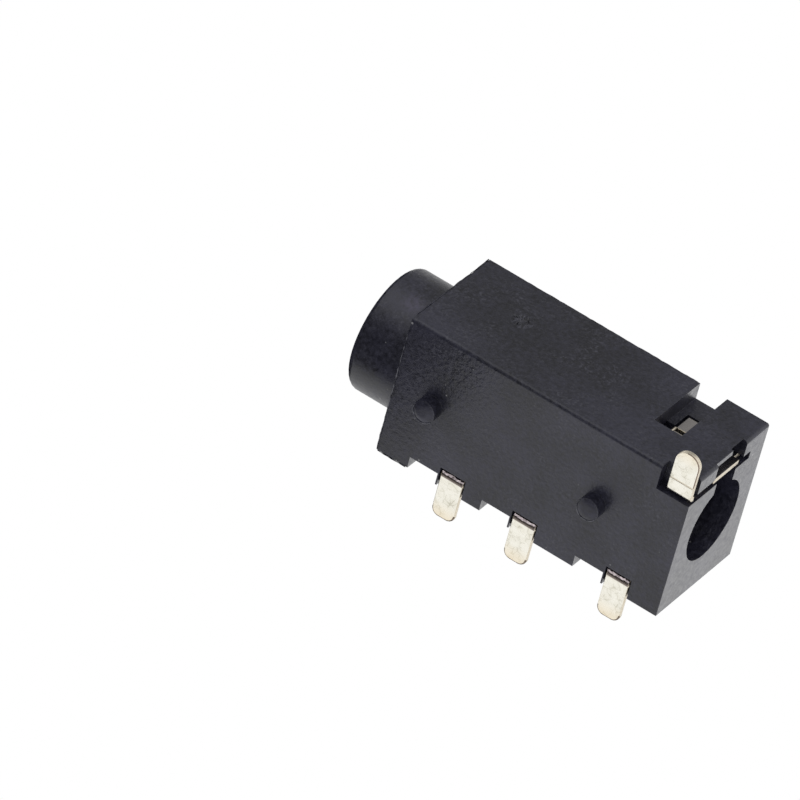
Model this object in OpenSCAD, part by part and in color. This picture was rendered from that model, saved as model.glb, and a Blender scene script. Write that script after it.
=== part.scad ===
// Surface-mounted 3.5 mm four-pole audio jack for a circuit board.
// The origin is the centre of the front locating peg in the board plane. +Z points away from
// the board and the plug goes in along +Y. Inside from_front() y runs from the body's front face.

/* [Housing] */
// Width of the moulded body, from the three leads' side to the sleeve side
body_w = 6; // [5.8:0.1:6.6]
// Length of the body, front face to rear face
body_l = 12; // [11.8:0.1:13]
// Height of the body above the board
body_h = 5; // [4.9:0.1:5.6]
// Radius of the body's edges
edge_r = 0.04; // [0.03:0.01:0.1]
// Radius of the two edges beside the sleeve contact: the lower one and the one at the rear
sleeve_edge_r = 0.16; // [0.1:0.01:0.25]

/* [Barrel and bore] */
// Outside diameter of the barrel
barrel_d = 4.9; // [4.8:0.05:5]
// Length of the barrel in front of the body
barrel_l = 2.05; // [1.6:0.05:3]
// Radius of the barrel's outer front edge
barrel_edge_r = 0.3; // [0.1:0.05:0.4]
// Diameter of the plug bore
bore_d = 3.6; // [3.5:0.05:3.8]
// Height of the bore's axis above the board
bore_h = 2.5; // [2.4:0.05:2.6]
// Widening of the bore's radius at the mouth
mouth_flare = 0.3; // [0.1:0.05:0.4]
// Diameter of the hole through the rear wall
rear_hole_d = 3.25; // [2.8:0.05:3.5]
// Thickness of the rear wall
rear_wall = 1.2; // [0.8:0.1:1.5]

/* [Locating pegs] */
// Diameter of the pegs
peg_d = 0.9; // [0.7:0.05:1.2]
// Length of the pegs below the board plane
peg_l = 0.6; // [0.4:0.05:1]
// Chamfer at the peg tips
peg_chamfer = 0.1; // [0.05:0.01:0.15]
// Distance of the front peg behind the front face
front_peg_y = 1.6; // [1.2:0.1:2]
// Distance between the two pegs
peg_pitch = 7; // [6.5:0.1:7.5]

/* [Contact metal] */
// Thickness of the contact strip
metal_t = 0.2; // [0.15:0.01:0.22]
// Clearance between a contact and its slot
fit_gap = 0.02; // [0.01:0.01:0.05]
// Outer radius of the bend between a leg and its foot
lead_bend_r = 0.3; // [0.25:0.01:0.4]

/* [Three spring contacts] */
// Distance of the front lead behind the front face
front_lead_y = 3.12; // [2.9:0.01:3.3]
// Distance from the front lead to the middle lead
ring_pitch = 3.1; // [3:0.05:3.4]
// Distance from the middle lead to the rear lead
tip_pitch = 4; // [3.6:0.05:4.2]
// Width of a lead
lead_w = 0.96; // [0.8:0.02:1.1]
// Reach of the leads beyond the body's side
lead_reach = 1.2; // [0.8:0.05:1.6]
// Corner radius at a lead's end
lead_corner_r = 0.32; // [0.1:0.02:0.38]
// Plastic between a contact's blade and the body's side
outer_wall = 0.6; // [0.55:0.01:0.65]
// Width of the blade across its ears
blade_w = 2.65; // [2.5:0.05:2.8]
// Height of the blade's lower edge, where it sits on its shoulder
shoulder_h = 3; // [2.9:0.05:3.4]
// Width of an ear
ear_w = 0.3; // [0.2:0.02:0.34]
// Depth of the ears' ends below the top face
ear_gap = 0.12; // [0.05:0.01:0.3]
// Width of the bridge and its hook
bridge_w = 1.86; // [1.5:0.02:1.9]
// Depth of the bridge below the top face
bridge_gap = 0.15; // [0.05:0.01:0.25]
// Outer radius of the bend between blade and bridge
top_bend_r = 0.36; // [0.26:0.01:0.5]
// Distance of the hook's face from the centre line
hook_face_x = 0.22; // [0.15:0.01:0.4]
// Height of the hook's contact point above the bore's axis
contact_h = 1.5; // [1.46:0.01:1.6]
// Length of the hook's turned-back end
hook_end_l = 0.25; // [0.1:0.01:0.4]
// Distance of the bridge's middle in front of its lead
bridge_offset = 0.78; // [0.7:0.01:0.84]

/* [Openings for the spring contacts] */
// Clearance round the bridge in its window
window_gap = 0.06; // [0.03:0.01:0.1]
// Room below the hook
hook_room = 0.1; // [0.05:0.01:0.2]
// Clearance beside an ear
ear_slot_gap = 0.05; // [0.02:0.01:0.08]
// Clearance beside a lead in its notch
lead_gap = 0.06; // [0.04:0.01:0.14]
// Clearance above a lead in its notch
lead_notch_gap = 0.1; // [0.08:0.01:0.2]
// Thickness of the lip between a lead's notch and the pocket in front of it
lip_t = 0.05; // [0.04:0.01:0.2]
// Length of the pocket in front of a lead
pocket_w = 1.2; // [0.9:0.05:1.25]
// Depth of that pocket into the body's side
pocket_depth = 0.5; // [0.3:0.05:0.55]
// Height of that pocket
pocket_h = 2.85; // [2:0.05:2.85]

/* [Sleeve contact] */
// Plastic between the sleeve contact's plate and the body's side
sleeve_wall = 0.7; // [0.6:0.02:0.72]
// Length of the plate
plate_l = 2.3; // [2.1:0.05:2.6]
// Distance of the plate's rear edge from the rear face
plate_inset = 0.25; // [0.2:0.01:0.4]
// Height of the plate's lower edge
plate_bottom = 1; // [0.8:0.05:1.4]
// Height of the plate's upper edge
plate_top = 3.9; // [3.4:0.05:4.1]
// Width of the tail that shows in the rear face
tail_w = 1.68; // [0.8:0.02:1.8]
// Distance of the tail's middle below the bore's axis
tail_drop = 0.04; // [0:0.01:0.3]
// Distance of the tail's end from the rear face
tail_inset = 0.03; // [0.01:0.01:0.1]
// Width of the sleeve lead
sleeve_lead_w = 0.98; // [0.9:0.02:1.1]
// Distance of the sleeve lead's rear edge from the rear face
sleeve_lead_inset = 0.02; // [0.01:0.01:0.1]
// Reach of the sleeve lead beyond the body's side
sleeve_lead_reach = 1.05; // [0.7:0.05:1.4]
// Width of the spring arm
arm_w = 0.75; // [0.7:0.05:1]
// Width of the slit between arm and plate
slit_w = 0.19; // [0.05:0.01:0.25]
// Length of that slit
slit_l = 0.7; // [0.4:0.05:1]
// Distance that the arm steps in from the plate, towards the bore
step_in = 0.22; // [0.1:0.01:0.25]
// Length of that step
step_l = 0.7; // [0.4:0.05:1]
// Distance of the arm's contact point from the bore's axis
arm_contact_r = 1.6; // [1.56:0.01:1.7]
// Distance of the arm's contact point behind the front face
nose_y = 0.4; // [0.2:0.05:1]
// Radius of the arm's nose
nose_r = 0.7; // [0.5:0.05:0.8]
// Slope of the arm behind the nose
rear_slope = 10; // [6:1:14]
// Slope of the arm in front of the nose
front_slope = 12; // [8:1:14]
// Length of the arm in front of the nose
arm_front_l = 1.2; // [0.8:0.05:1.25]

/* [Openings for the sleeve contact] */
// Play inside the plate, towards the bore
plate_play = 0.1; // [0.04:0.01:0.15]
// Clearance above and below the plate
plate_gap = 0.1; // [0.05:0.01:0.15]
// Clearance above and below the arm
arm_gap = 0.25; // [0.1:0.01:0.3]
// Wall that the barrel keeps outside the arm
barrel_wall = 0.28; // [0.2:0.02:0.3]
// Room in front of the arm's end
arm_room = 0.12; // [0.05:0.01:0.2]
// Height of the corner notch over the sleeve lead
corner_h = 0.45; // [0.35:0.05:0.7]
// Room in front of the sleeve lead in the corner notch
corner_gap = 0.36; // [0.1:0.02:0.5]
// Distance of the side notch in front of the rear face
notch_rear = 1.8; // [1.6:0.05:2.2]
// Length of the side notch
notch_l = 1.15; // [0.8:0.05:1.3]
// Height of the side notch's lower end
notch_bottom = 1.95; // [1.6:0.05:2.6]
// Height of the lower end of the pocket beside the tail
tail_pocket_bottom = 1.6; // [1.3:0.05:1.8]
// Height of the step in that pocket
tail_pocket_step = 2.7; // [2.2:0.05:2.9]
// Height of the upper end of that pocket
tail_pocket_top = 3.52; // [3.1:0.02:3.7]
// Depth of that pocket into the rear face
tail_pocket_depth = 0.5; // [0.3:0.05:0.7]
// Depth of that pocket at the body's side, above its step
side_cut_depth = 0.2; // [0.1:0.02:0.28]
// Depth of its shallow ledge
ledge_depth = 0.1; // [0.05:0.01:0.14]
// Width of that ledge, from the body's side
ledge_w = 0.22; // [0.1:0.02:0.4]

/* [Ejector marks] */
// Distance of the front mark from the centre line
front_mark_x = 1.4; // [0.9:0.05:1.9]
// Distance of the front mark behind the front face
front_mark_y = 2; // [1.2:0.05:3]
// Distance of the middle mark from the centre line, on the leads' side
middle_mark_x = 1.1; // [0.8:0.05:1.4]
// Distance of the middle mark behind the front face
middle_mark_y = 7.4; // [7.15:0.05:7.7]
// Distance of the rear mark from the centre line
rear_mark_x = 1.25; // [0.9:0.05:1.3]
// Distance of the rear mark behind the front face
rear_mark_y = 10.35; // [9.9:0.05:10.9]
// Diameter of the two smaller ejector marks
small_mark_d = 1.3; // [1:0.05:1.4]
// Diameter of the large ejector mark
large_mark_d = 1.45; // [1.2:0.05:1.6]
// Depth of the ejector marks
mark_depth = 0.06; // [0.03:0.01:0.1]
// Depth of the driver slots in the marks
mark_slot_depth = 0.14; // [0.08:0.01:0.2]
// Width of the driver slots
mark_slot_w = 0.14; // [0.1:0.01:0.2]
// Length of the front mark's driver slot
front_slot_l = 0.9; // [0.6:0.05:1]
// Turn of that slot
front_slot_turn = 147; // [90:1:180]
// Distance of that slot from its mark's middle
front_slot_offset = 0.2; // [0:0.01:0.3]
// Length of the rear mark's driver slot
rear_slot_l = 1.25; // [0.8:0.05:1.3]
// Turn of that slot
rear_slot_turn = 164; // [90:1:180]
// Distance of that slot from its mark's middle
rear_slot_offset = 0.08; // [0:0.01:0.3]

/* [Hidden] */
$fn = 48;
past = 0.2;
nose_steps = 8;
half_w = body_w / 2;
lead_ys = [front_lead_y, front_lead_y + ring_pitch, front_lead_y + ring_pitch + tip_pitch];

// Spring contacts: faces of the blade, heights of bridge and hook
blade_out = half_w - outer_wall;
blade_in = blade_out - metal_t;
foot_start = blade_in + lead_bend_r;
bridge_top = body_h - bridge_gap;
hook_bottom = bore_h + contact_h;
hook_r = (bridge_top - hook_bottom) / 2;
hook_x = hook_face_x + hook_r;
lead_slot_w = lead_w + 2 * lead_gap;

// Sleeve contact: faces of the plate, edges of the arm, centre of the nose
plate_out = half_w - sleeve_wall;
plate_in = plate_out - metal_t;
plate_rear = body_l - plate_inset;
plate_front = plate_rear - plate_l;
sleeve_lead_rear = body_l - sleeve_lead_inset;
sleeve_lead_front = sleeve_lead_rear - sleeve_lead_w;
arm_bottom = bore_h - arm_w / 2;
arm_top = bore_h + arm_w / 2;
run_in = plate_in - step_in;
run_out = run_in + metal_t;
run_start = plate_front - step_l;
nose_x = arm_contact_r + nose_r;
ramp_angle = 180 - rear_slope;
front_angle = 180 + front_slope;
arm_end = arm_tip(nose_r)[1];
barrel_channel_x = barrel_d / 2 - barrel_wall;

// Puts what is measured from the front face into the part's frame
module from_front() translate([0, -front_peg_y, 0]) children();

// Extrudes an outline drawn in X and Z along Y, centred on y
module across(y, w) translate([0, y + w / 2, 0]) rotate([90, 0, 0]) linear_extrude(w) children();

// Extrudes an outline drawn in Y and Z by one strip thickness, from x outwards along +X
module sheet_at(x) translate([x, 0, 0]) rotate([90, 0, 90]) linear_extrude(metal_t) children();

// Axis of the bore, with local +Z pointing out of the mouth, starting at y
module along_bore(y) translate([0, y, bore_h]) rotate([90, 0, 0]) children();

// Rectangle from one corner to the opposite one
module span(low, high) translate(low) square(high - low);

// Box from one corner to the opposite one
module block(low, high) translate(low) cube(high - low);

// Rectangle with rounded corners
module rounded_rect(w, l, r) {
    translate([r, 0]) square([w - 2 * r, l]);
    translate([0, r]) square([w, l - 2 * r]);
    for (x = [r, w - r], y = [r, l - r]) translate([x, y]) circle(r);
}

// The same rectangle with a larger radius at its lower right corner
module soft_corner_rect(w, l, r, corner_r) {
    more = 2 * corner_r;
    intersection() {
        rounded_rect(w, l, r);
        translate([-more, 0]) rounded_rect(w + more, l + more, corner_r);
    }
}

// Block with all twelve edges rounded, standing on z = 0 behind y = 0. Its lower edge and its
// rear upright edge on the +X side have the radius side_r
module rounded_block(w, l, h, r, side_r) {
    intersection() {
        translate([-w / 2, l, 0]) mirror([0, 1, 0]) linear_extrude(h) soft_corner_rect(w, l, r, side_r);
        across(l / 2, l) translate([-w / 2, 0]) soft_corner_rect(w, h, r, side_r);
        translate([-w / 2, 0, 0]) rotate([90, 0, 90]) linear_extrude(w) rounded_rect(l, h, r);
    }
}

// Part of a flat ring of one strip thickness, from angle a0 to a1, under half a turn
module ring_part(r, a0, a1) {
    reach = 2 * r;
    mid = (a0 + a1) / 2;
    intersection() {
        difference() {
            circle(r);
            circle(r - metal_t);
        }
        polygon([[0, 0], for (a = [a0, mid, a1]) reach * [cos(a), sin(a)]]);
    }
}

// Flat foot of a lead on the board, from x = 0 along +X, with rounded end corners
module foot(l, w, r) {
    linear_extrude(metal_t) translate([0, -w / 2]) {
        square([l - r, w]);
        translate([0, r]) square([l, w - 2 * r]);
        for (y = [r, w - r]) translate([l - r, y]) circle(r);
    }
}

// Stamped and folded contact: foot, leg, blade with two ears, bridge and hook
module spring_contact(lead_y) {
    bridge_y = lead_y - bridge_offset;
    blade_top = bridge_top - top_bend_r;
    translate([-foot_start, lead_y, 0]) mirror([1, 0, 0])
        foot(half_w + lead_reach - foot_start, lead_w, lead_corner_r);
    across(lead_y, lead_w) translate([-foot_start, lead_bend_r]) ring_part(lead_bend_r, -90, 0);
    sheet_at(-blade_out) {
        span([lead_y - lead_w / 2, lead_bend_r], [lead_y + lead_w / 2, shoulder_h]);
        span([bridge_y - blade_w / 2, shoulder_h], [bridge_y + blade_w / 2, blade_top]);
        for (side = [-1, 1]) translate([bridge_y + side * (blade_w - ear_w) / 2 - ear_w / 2, blade_top])
            square([ear_w, body_h - ear_gap - blade_top]);
    }
    across(bridge_y, bridge_w) {
        translate([top_bend_r - blade_out, blade_top]) ring_part(top_bend_r, 90, 180);
        span([top_bend_r - blade_out, bridge_top - metal_t], [-hook_x, bridge_top]);
        translate([-hook_x, bridge_top - hook_r]) {
            ring_part(hook_r, 0, 90);
            ring_part(hook_r, -90, 0);
        }
        span([-hook_x - hook_end_l, hook_bottom], [-hook_x, hook_bottom + metal_t]);
    }
}

// Everything the moulding leaves open for one spring contact
module spring_contact_room(lead_y) {
    bridge_y = lead_y - bridge_offset;
    ear_half = blade_w / 2 + ear_slot_gap;
    window_half = bridge_w / 2 + window_gap;
    slot_front = lead_y - lead_slot_w / 2;
    slot_rear = lead_y + lead_slot_w / 2;
    // Slot for the blade and its ears
    block([-blade_out - fit_gap, bridge_y - ear_half, shoulder_h - fit_gap],
          [-blade_in + fit_gap, bridge_y + ear_half, body_h + past]);
    // Window over the bridge and the hook, open to the bore
    block([-blade_out - fit_gap, bridge_y - window_half, hook_bottom - hook_room],
          [-hook_face_x + window_gap, bridge_y + window_half, body_h + past]);
    // Shaft for the leg and notch for the foot
    block([-blade_out - fit_gap, slot_front, -past], [-blade_in + fit_gap, slot_rear, shoulder_h]);
    block([-half_w - past, slot_front, -past], [-blade_out, slot_rear, metal_t + lead_notch_gap]);
    // Pocket in the side, in front of the lead
    block([-half_w - past, slot_front - lip_t - pocket_w, -past],
          [-half_w + pocket_depth, slot_front - lip_t, pocket_h]);
}

// Point on the arm's nose at radius r and angle a
function nose_point(r, a) = [nose_x, nose_y] + r * [cos(a), sin(a)];

// Free end of the arm's face that has radius r at the nose
function arm_tip(r) = nose_point(r, front_angle) + arm_front_l * [-sin(front_angle), cos(front_angle)];

// Where the sloping face that has radius r at the nose reaches x
function kink(r, x) = let (start = nose_point(r, ramp_angle))
    [x, start[1] + (start[0] - x) / tan(ramp_angle)];

// Outline of the sleeve contact's arm and nose, seen along Z
module arm_outline() {
    back_r = nose_r - metal_t;
    turn = [for (i = [0:nose_steps]) ramp_angle + (front_angle - ramp_angle) * i / nose_steps];
    back_turn = [for (i = [0:nose_steps]) turn[nose_steps - i]];
    polygon(concat(
        [[plate_in, plate_front], [run_in, run_start], kink(nose_r, run_in)],
        [for (a = turn) nose_point(nose_r, a)],
        [arm_tip(nose_r), arm_tip(back_r)],
        [for (a = back_turn) nose_point(back_r, a)],
        [kink(back_r, run_out), [run_out, run_start], [plate_out, plate_front]]
    ));
}

// Everything the moulding leaves open for the sleeve contact
module sleeve_contact_room() {
    slot_in = plate_in - plate_play;
    slot_out = plate_out + fit_gap;
    channel_bottom = arm_bottom - arm_gap;
    channel_top = arm_top + arm_gap;
    lead_room_front = sleeve_lead_front - corner_gap;
    ledge_x = half_w - ledge_w;
    // Channel for the arm, from inside the barrel to the rear face
    block([0, arm_end - arm_room, channel_bottom], [barrel_channel_x, body_l + past, channel_top]);
    block([0, edge_r + barrel_wall, channel_bottom], [slot_out, body_l + past, channel_top]);
    // Slot for the plate and, at the rear, for the leg
    block([slot_in, plate_front - plate_gap, plate_bottom - plate_gap],
          [slot_out, body_l + past, plate_top + plate_gap]);
    block([slot_in, sleeve_lead_front - plate_gap, -past], [slot_out, body_l + past, plate_bottom]);
    // Notch in the lower rear corner for the lead
    block([slot_in, lead_room_front, -past], [half_w + past, body_l + past, corner_h]);
    // Notch in the side that shows the plate
    block([slot_out - fit_gap, body_l - notch_rear - notch_l, notch_bottom],
          [half_w + past, body_l - notch_rear, body_h + past]);
    // Pocket in the rear face beside the tail, which runs out through the side above its step
    block([plate_out, body_l - tail_pocket_depth, tail_pocket_bottom],
          [ledge_x, body_l + past, tail_pocket_step + past]);
    translate([0, 0, tail_pocket_step]) linear_extrude(tail_pocket_top - tail_pocket_step) polygon([
        [plate_out, body_l + past],
        [plate_out, body_l - tail_pocket_depth],
        [ledge_x, body_l - tail_pocket_depth],
        [half_w, body_l - side_cut_depth],
        [half_w + past, body_l - side_cut_depth],
        [half_w + past, body_l + past],
    ]);
    block([plate_out, body_l - ledge_depth, tail_pocket_bottom],
          [half_w + past, body_l + past, tail_pocket_step]);
}

// Shallow round mark in the top face
module mark(x, y, d) translate([x, y, body_h - mark_depth]) cylinder(d = d, h = mark_depth + past);

// Driver slot in a mark, turned about the mark's middle
module driver_slot(x, y, l, turn, offset) {
    translate([x, y, body_h]) rotate(turn) translate([0, -offset, 0])
        block([-l / 2, -mark_slot_w / 2, -mark_slot_depth], [l / 2, mark_slot_w / 2, past]);
}

// The three ejector marks, two of them with a driver slot
module ejector_marks() {
    mark(front_mark_x, front_mark_y, small_mark_d);
    mark(-middle_mark_x, middle_mark_y, small_mark_d);
    mark(rear_mark_x, rear_mark_y, large_mark_d);
    driver_slot(front_mark_x, front_mark_y, front_slot_l, front_slot_turn, front_slot_offset);
    driver_slot(rear_mark_x, rear_mark_y, rear_slot_l, rear_slot_turn, rear_slot_offset);
}

// Barrel with its rounded front edge
module barrel() {
    r = barrel_d / 2;
    along_bore(edge_r) rotate_extrude() {
        square([r, barrel_l + edge_r - barrel_edge_r]);
        square([r - barrel_edge_r, barrel_l + edge_r]);
        translate([r - barrel_edge_r, barrel_l + edge_r - barrel_edge_r]) intersection() {
            circle(barrel_edge_r);
            square(barrel_edge_r);
        }
    }
}

// Plug bore with its flared mouth and the smaller hole through the rear wall
module bore() {
    bore_end = body_l - rear_wall;
    along_bore(bore_end) cylinder(d = bore_d, h = bore_end + barrel_l + past);
    along_bore(mouth_flare - barrel_l)
        cylinder(r1 = bore_d / 2, r2 = bore_d / 2 + mouth_flare, h = mouth_flare);
    along_bore(body_l + past) cylinder(d = rear_hole_d, h = rear_wall + past + bore_d);
}

// Locating peg with a chamfered tip
module peg(y) {
    r = peg_d / 2;
    translate([0, y, 0]) mirror([0, 0, 1]) rotate_extrude() polygon([
        [0, -edge_r], [r, -edge_r], [r, peg_l - peg_chamfer], [r - peg_chamfer, peg_l], [0, peg_l],
    ]);
}

module housing() {
    color("#26262a") from_front() difference() {
        union() {
            rounded_block(body_w, body_l, body_h, edge_r, sleeve_edge_r);
            barrel();
            peg(front_peg_y);
            peg(front_peg_y + peg_pitch);
        }
        bore();
        for (lead_y = lead_ys) spring_contact_room(lead_y);
        sleeve_contact_room();
        ejector_marks();
    }
}

module ring_two_contact() color("#d8d6c6") from_front() spring_contact(lead_ys[0]);

module ring_one_contact() color("#d8d6c6") from_front() spring_contact(lead_ys[1]);

module tip_contact() color("#d8d6c6") from_front() spring_contact(lead_ys[2]);

module sleeve_contact() {
    foot_x = plate_in + lead_bend_r;
    lead_mid = (sleeve_lead_front + sleeve_lead_rear) / 2;
    tail_mid = bore_h - tail_drop;
    color("#d8d6c6") from_front() {
        translate([foot_x, lead_mid, 0])
            foot(half_w + sleeve_lead_reach - foot_x, sleeve_lead_w, sleeve_lead_w / 2 - fit_gap);
        across(lead_mid, sleeve_lead_w) translate([foot_x, lead_bend_r]) ring_part(lead_bend_r, 180, 270);
        sheet_at(plate_in) {
            span([sleeve_lead_front, lead_bend_r], [plate_rear, plate_bottom]);
            difference() {
                span([plate_front, plate_bottom], [plate_rear, plate_top]);
                span([plate_front - past, arm_top], [plate_front + slit_l, arm_top + slit_w]);
            }
            span([plate_rear, tail_mid - tail_w / 2], [body_l - tail_inset, tail_mid + tail_w / 2]);
        }
        translate([0, 0, arm_bottom]) linear_extrude(arm_w) arm_outline();
    }
}

housing();
ring_two_contact();
ring_one_contact();
tip_contact();
sleeve_contact();
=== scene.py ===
# Surface-mounted audio jack, seen from its board side: black moulding and tin-plated contacts
from math import radians

import bpy
from mathutils import Matrix, Vector


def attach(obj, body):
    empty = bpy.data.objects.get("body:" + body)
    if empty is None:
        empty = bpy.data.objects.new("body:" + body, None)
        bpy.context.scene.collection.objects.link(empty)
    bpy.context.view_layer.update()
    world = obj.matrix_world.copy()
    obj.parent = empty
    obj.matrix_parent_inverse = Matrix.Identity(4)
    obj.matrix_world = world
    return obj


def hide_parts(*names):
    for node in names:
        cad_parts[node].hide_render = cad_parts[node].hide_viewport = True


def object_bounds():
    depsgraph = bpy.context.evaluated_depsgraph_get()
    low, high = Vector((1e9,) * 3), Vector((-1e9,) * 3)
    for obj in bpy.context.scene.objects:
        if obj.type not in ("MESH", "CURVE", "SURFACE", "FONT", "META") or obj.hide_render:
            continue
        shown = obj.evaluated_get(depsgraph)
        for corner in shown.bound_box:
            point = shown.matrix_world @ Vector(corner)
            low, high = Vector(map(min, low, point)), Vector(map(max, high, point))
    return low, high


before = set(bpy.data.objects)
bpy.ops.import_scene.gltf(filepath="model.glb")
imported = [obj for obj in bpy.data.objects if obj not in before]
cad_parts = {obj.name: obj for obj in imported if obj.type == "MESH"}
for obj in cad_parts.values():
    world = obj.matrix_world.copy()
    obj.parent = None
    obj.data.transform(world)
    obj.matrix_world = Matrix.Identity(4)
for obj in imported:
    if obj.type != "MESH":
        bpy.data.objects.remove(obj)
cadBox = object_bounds()
mm = 0.001
scene = bpy.context.scene
scene.view_settings.view_transform = "Standard"
print("frame loaded:", sorted(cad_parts))

# A Mix node's sockets share their names, so they go by number
mixShare, colourA, colourB, mixedColour = 0, 6, 7, 2
valueA, valueB, mixedValue = 2, 3, 0


def toLinear(hexColour):
    channels = [int(hexColour[i:i + 2], 16) / 255 for i in (1, 3, 5)]
    return [c / 12.92 if c <= 0.04045 else ((c + 0.055) / 1.055) ** 2.4 for c in channels] + [1]


def perMm(size):
    return 1 / (size * mm)  # texture scale of a pattern with cells of this size in millimetres


def addNode(tree, kind, settings=None, links=None):
    node = tree.nodes.new(kind)
    for key, value in (settings or {}).items():
        if isinstance(key, int) or key in node.inputs:
            node.inputs[key].default_value = value
        else:
            setattr(node, key, value)
    for socket, source in (links or {}).items():
        tree.links.new(source, node.inputs[socket])
    return node


def newMaterial(name):
    material = bpy.data.materials.new(name)
    material.use_nodes = True
    material.node_tree.nodes.clear()
    return material, material.node_tree


# Glass-filled PBT, moulded in a spark-eroded tool: a satin black that takes a soft grey sheen, with a
# pebbled skin (drawn a little coarse, so that it shows), faint flow marks, scuffs and pale dust. The
# skin is coarsest near the front of the underside and on the sleeve's side, which has the most scuffs.
# It is smoother on the barrel, which has one pale patch, partly rubbed and partly a painted highlight,
# and on the faces across the plug's way. Flash is whitened where it was bent; the same whitening on the
# half rings at the peg rims is a painted highlight
plastic = {
    # The pale barrel patch colour is partly rubbing and partly a painted highlight
    "deep": "#12121b", "pale": "#2b2b3a", "speck": "#8c8c8e", "sheenRub": "#4a465c",
    # The flash colour whitens bent flash, and on the peg rims it is a painted highlight
    "scuff": "#3c3c47", "tipScuff": "#222230", "flash": "#606068", "torn": "#3a3a45",
    "noises": {  # cell in mm, detail, roughness
        "grain": (0.06, 2.0, 0.5), "pebble": (0.16, 1.0, 0.5), "mottle": (0.2, 3.0, 0.65),
        "flow": (2.2, 4.0, 0.5), "scuff": (1.6, 2.0, 0.5), "fleck": (0.11, 2.0, 0.5),
    },
    "toneRange": (0.77, 1.23),  # mottle and flow together, from deep to pale
    "masks": {"scuff": (0.42, 0.74), "fleck": (0.52, 0.72)},  # noise, from none to full
    "whiteMm": 0.3, "whiteDetail": 3.0, "whiteRange": (0.44, 0.62),
    "sheenRubAtMm": (2.27, -2.42, 1.62), "sheenRubMm": 0.6, "sheenRubTimes": 0.9,
    "speckMm": 0.4, "speckRarity": 5.0, "speckReach": 0.16, "speckFade": 0.08, "speckShare": 0.7,
    "grainDepthMm": 0.005, "pebbleDepthMm": 0.014, "flowDepthMm": 0.02,
    "turnRange": (0.5, 0.9),  # share of the normal along an axis, from turned away to facing it
    "sideTimes": 1.7, "pebbleEndTimes": 0.12, "grainEndTimes": 0.6,
    "coarseAtMm": (2.0, 0.9, 0.0), "coarseMm": 1.7, "coarseTimes": 1.9,
    "barrelRangeMm": (-1.65, -1.6), "barrelTimes": 0.4,
    "edgeMm": 0.02, "edgeSamples": 6, "ior": 1.54, "sheen": 0.5, "tipSheen": 0.36, "tipTimes": 0.35,
    "roughFrom": (0.3, 0.7), "roughTo": (0.3, 0.44),  # mottle, and the roughness that it gives
}


def mouldingColour(tree, place, noise, handled, scuff):
    mixed = addNode(tree, "ShaderNodeMath", {"operation": "ADD"}, {0: noise["mottle"], 1: noise["flow"]})
    darkest, palest = plastic["toneRange"]
    tone = addNode(tree, "ShaderNodeMapRange", {"From Min": darkest, "From Max": palest},
                   {"Value": mixed.outputs["Value"]}).outputs["Result"]
    shade = addNode(tree, "ShaderNodeMix", {"data_type": "RGBA", colourA: toLinear(plastic["deep"]),
                    colourB: toLinear(plastic["pale"])}, {mixShare: tone})
    mask = {}
    for pattern, (none, full) in plastic["masks"].items():
        mask[pattern] = addNode(tree, "ShaderNodeMapRange", {"From Min": none, "From Max": full},
                                {"Value": noise[pattern]}).outputs["Result"]
    spread = addNode(tree, "ShaderNodeMath", {"operation": "MULTIPLY", "use_clamp": True},
                     {0: mask["scuff"], 1: handled})
    # Pale patch on the barrel: partly rubbed, partly a painted highlight
    away = addNode(tree, "ShaderNodeVectorMath", {"operation": "DISTANCE",
                   1: Vector(plastic["sheenRubAtMm"]) * mm}, {0: place})
    sheenRub = addNode(tree, "ShaderNodeMapRange", {"interpolation_type": "SMOOTHSTEP", "From Min": 0.0,
                  "From Max": plastic["sheenRubMm"] * mm, "To Min": plastic["sheenRubTimes"], "To Max": 0.0},
                  {"Value": away.outputs["Value"]})
    for paler, spot, broken in ((scuff, spread.outputs["Value"], mask["fleck"]),
                                (plastic["sheenRub"], sheenRub.outputs["Result"], tone)):
        share = addNode(tree, "ShaderNodeMath", {"operation": "MULTIPLY"}, {0: spot, 1: broken})
        shade = addNode(tree, "ShaderNodeMix", {"data_type": "RGBA", colourB: toLinear(paler)},
                        {mixShare: share.outputs["Value"], colourA: shade.outputs[mixedColour]})
    return shade.outputs[mixedColour]


def dustOver(tree, place, colour):
    cells = addNode(tree, "ShaderNodeTexVoronoi", {"Scale": perMm(plastic["speckMm"])}, {"Vector": place})
    chance = addNode(tree, "ShaderNodeSeparateColor", {}, {"Color": cells.outputs["Color"]})
    rarer = addNode(tree, "ShaderNodeMath", {"operation": "POWER", 1: plastic["speckRarity"]},
                    {0: chance.outputs["Red"]})
    reach = addNode(tree, "ShaderNodeMath", {"operation": "MULTIPLY", 1: plastic["speckReach"]},
                    {0: rarer.outputs["Value"]})
    inside = addNode(tree, "ShaderNodeMath", {"operation": "SUBTRACT"},
                     {0: reach.outputs["Value"], 1: cells.outputs["Distance"]})
    speck = addNode(tree, "ShaderNodeMapRange", {"From Max": plastic["speckFade"],
                    "To Max": plastic["speckShare"]}, {"Value": inside.outputs["Value"]})
    dusted = addNode(tree, "ShaderNodeMix", {"data_type": "RGBA", colourB: toLinear(plastic["speck"])},
                     {mixShare: speck.outputs["Result"], colourA: colour})
    return dusted.outputs[mixedColour]


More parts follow.
